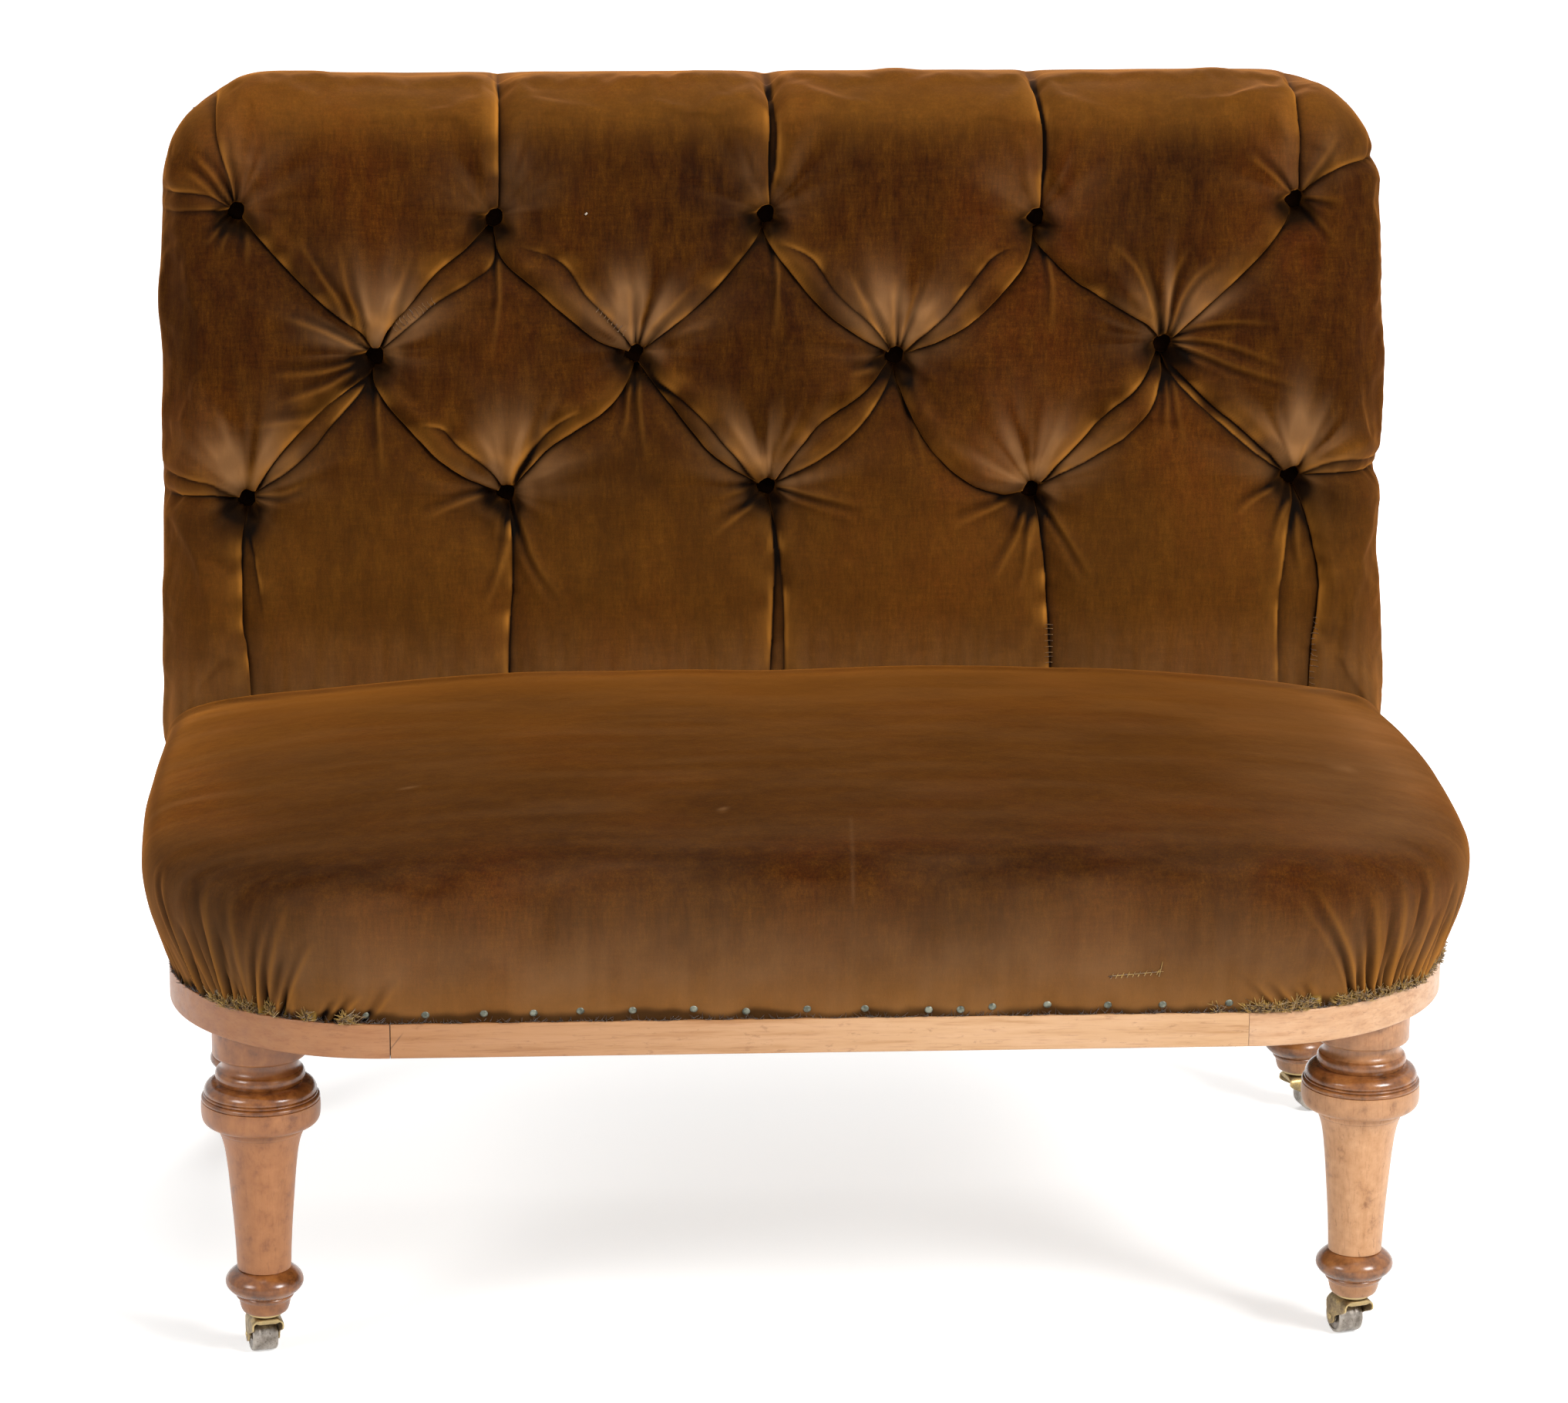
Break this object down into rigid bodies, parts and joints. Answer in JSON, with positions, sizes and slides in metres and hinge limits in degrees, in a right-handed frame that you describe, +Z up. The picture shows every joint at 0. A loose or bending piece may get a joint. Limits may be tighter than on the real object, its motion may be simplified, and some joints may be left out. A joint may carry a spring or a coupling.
{
  "type": "button back sofa",
  "caption": "Armless two-seat sofa with a deep-buttoned raked back, a domed sprung seat, a show-wood seat rail and turned legs on castors.",
  "frame": {"origin": "on the floor, under the middle of the overall box", "axes": "+X to the sofa's left-hand side as one sits (right in the front view), +Y to the rear, +Z up; the seat faces -Y"},
  "size_m": [1.1194, 0.8064, 0.9642],
  "materials": {
    "waxed_birch": "waxed, satin",
    "frame_beech": "sawn, matt",
    "cotton_velvet": "cut pile, matt",
    "jute_webbing": "woven, matt",
    "spring_steel": "lacquered wire",
    "cast_brass": "worn, dull"
  },
  "bodies": {
    "sofa_body": {"back_button_01": "cotton_velvet", "back_button_02": "cotton_velvet", "back_button_03": "cotton_velvet", "back_button_04": "cotton_velvet", "back_button_05": "cotton_velvet", "back_button_06": "cotton_velvet", "back_button_07": "cotton_velvet", "back_button_08": "cotton_velvet", "back_button_09": "cotton_velvet", "back_button_10": "cotton_velvet", "back_button_11": "cotton_velvet", "back_button_12": "cotton_velvet", "back_button_13": "cotton_velvet", "back_button_14": "cotton_velvet", "back_pad": "cotton_velvet", "back_post_left": "frame_beech", "back_post_right": "frame_beech", "back_stuffing_rail": "frame_beech", "back_top_rail": "frame_beech", "back_webbing": "jute_webbing", "castor_plate_front_left": "cast_brass", "castor_plate_front_right": "cast_brass", "castor_plate_rear_left": "cast_brass", "castor_plate_rear_right": "cast_brass", "front_corner_left": "waxed_birch", "front_corner_right": "waxed_birch", "front_leg_left": "waxed_birch", "front_leg_right": "waxed_birch", "front_rail": "waxed_birch", "outside_back": "cotton_velvet", "rear_corner_left": "waxed_birch", "rear_corner_right": "waxed_birch", "rear_leg_left": "waxed_birch", "rear_leg_right": "waxed_birch", "rear_rail": "waxed_birch", "seat_pad": "cotton_velvet", "seat_spring_1": "spring_steel", "seat_spring_2": "spring_steel", "seat_spring_3": "spring_steel", "seat_spring_4": "spring_steel", "seat_spring_5": "spring_steel", "seat_spring_6": "spring_steel", "seat_spring_7": "spring_steel", "seat_spring_8": "spring_steel", "seat_webbing": "jute_webbing", "side_rail_left": "waxed_birch", "side_rail_right": "waxed_birch", "spring_canvas": "jute_webbing"},
    "front_left_horn": {"castor_horn_front_left": "cast_brass", "castor_axle_front_left": "cast_brass"},
    "front_left_wheel": {"castor_wheel_front_left": "cast_brass"},
    "front_right_horn": {"castor_horn_front_right": "cast_brass", "castor_axle_front_right": "cast_brass"},
    "front_right_wheel": {"castor_wheel_front_right": "cast_brass"},
    "rear_left_horn": {"castor_horn_rear_left": "cast_brass", "castor_axle_rear_left": "cast_brass"},
    "rear_left_wheel": {"castor_wheel_rear_left": "cast_brass"},
    "rear_right_horn": {"castor_horn_rear_right": "cast_brass", "castor_axle_rear_right": "cast_brass"},
    "rear_right_wheel": {"castor_wheel_rear_right": "cast_brass"}
  },
  "joints": [
    {"name": "front_left_swivel", "type": "hinge", "parent": "sofa_body", "child": "front_left_horn", "pos_m": [-0.453, -0.29106, 0.0405], "axis": [0, 0, 1], "continuous": true},
    {"name": "front_left_roll", "type": "hinge", "parent": "front_left_horn", "child": "front_left_wheel", "pos_m": [-0.45601, -0.27688, 0.01448], "axis": [0.9781, 0.2079, 0], "continuous": true},
    {"name": "front_right_swivel", "type": "hinge", "parent": "sofa_body", "child": "front_right_horn", "pos_m": [0.453, -0.29106, 0.0405], "axis": [0, 0, 1], "continuous": true},
    {"name": "front_right_roll", "type": "hinge", "parent": "front_right_horn", "child": "front_right_wheel", "pos_m": [0.44876, -0.27719, 0.01448], "axis": [0.9563, 0.2924, 0], "continuous": true},
    {"name": "rear_left_swivel", "type": "hinge", "parent": "sofa_body", "child": "rear_left_horn", "pos_m": [-0.48998, 0.26671, 0.0405], "axis": [0, 0, 1], "continuous": true},
    {"name": "rear_left_roll", "type": "hinge", "parent": "rear_left_horn", "child": "rear_left_wheel", "pos_m": [-0.49587, 0.27996, 0.01448], "axis": [0.9135, 0.4067, 0], "continuous": true},
    {"name": "rear_right_swivel", "type": "hinge", "parent": "sofa_body", "child": "rear_right_horn", "pos_m": [0.48998, 0.26671, 0.0405], "axis": [0, 0, 1], "continuous": true},
    {"name": "rear_right_roll", "type": "hinge", "parent": "rear_right_horn", "child": "rear_right_wheel", "pos_m": [0.50398, 0.27047, 0.01448], "axis": [0.2588, -0.9659, 0], "continuous": true}
  ]
}
